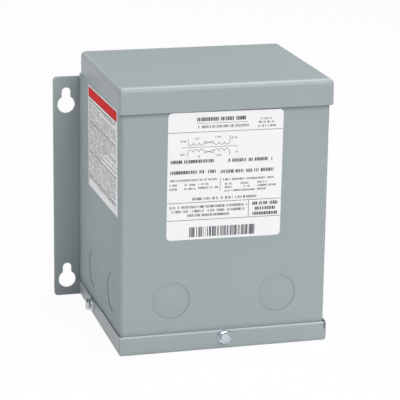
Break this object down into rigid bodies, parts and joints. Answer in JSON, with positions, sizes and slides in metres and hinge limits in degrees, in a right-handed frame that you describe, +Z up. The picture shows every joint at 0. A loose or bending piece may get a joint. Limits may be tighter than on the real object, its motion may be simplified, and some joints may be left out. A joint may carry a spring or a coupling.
{
  "type": "dry-type transformer",
  "caption": "Small wall-mounted dry-type transformer in a painted folded-steel box with lapped top and bottom covers, conduit knockouts and a keyholed mounting plate.",
  "frame": {"origin": "on the underside of the bottom cover, midway between the side walls and between the front wall and the mounting plate", "axes": "+Z up, +Y towards the wall, -Y is the front with the large label, +X to the right seen from the front"},
  "size_m": [0.2, 0.1545, 0.2036],
  "materials": {
    "enclosure_paint": "satin",
    "plate_paint": "satin",
    "zinc_screws": "satin",
    "front_label_film": "matte",
    "side_label_film": "matte",
    "resin": "matte"
  },
  "bodies": {
    "root": {"body_wrapper": "enclosure_paint", "bottom_cover": "enclosure_paint", "core_block": "resin", "front_cover_screw": "zinc_screws", "front_knockout_left": "enclosure_paint", "front_knockout_right": "enclosure_paint", "front_label": "front_label_film", "left_cover_screw": "zinc_screws", "left_knockout_front": "enclosure_paint", "left_knockout_rear": "enclosure_paint", "mounting_plate": "plate_paint", "right_cover_screw": "zinc_screws", "right_knockout_front": "enclosure_paint", "right_knockout_rear": "enclosure_paint", "side_label": "side_label_film", "top_cover": "enclosure_paint"}
  },
  "joints": []
}
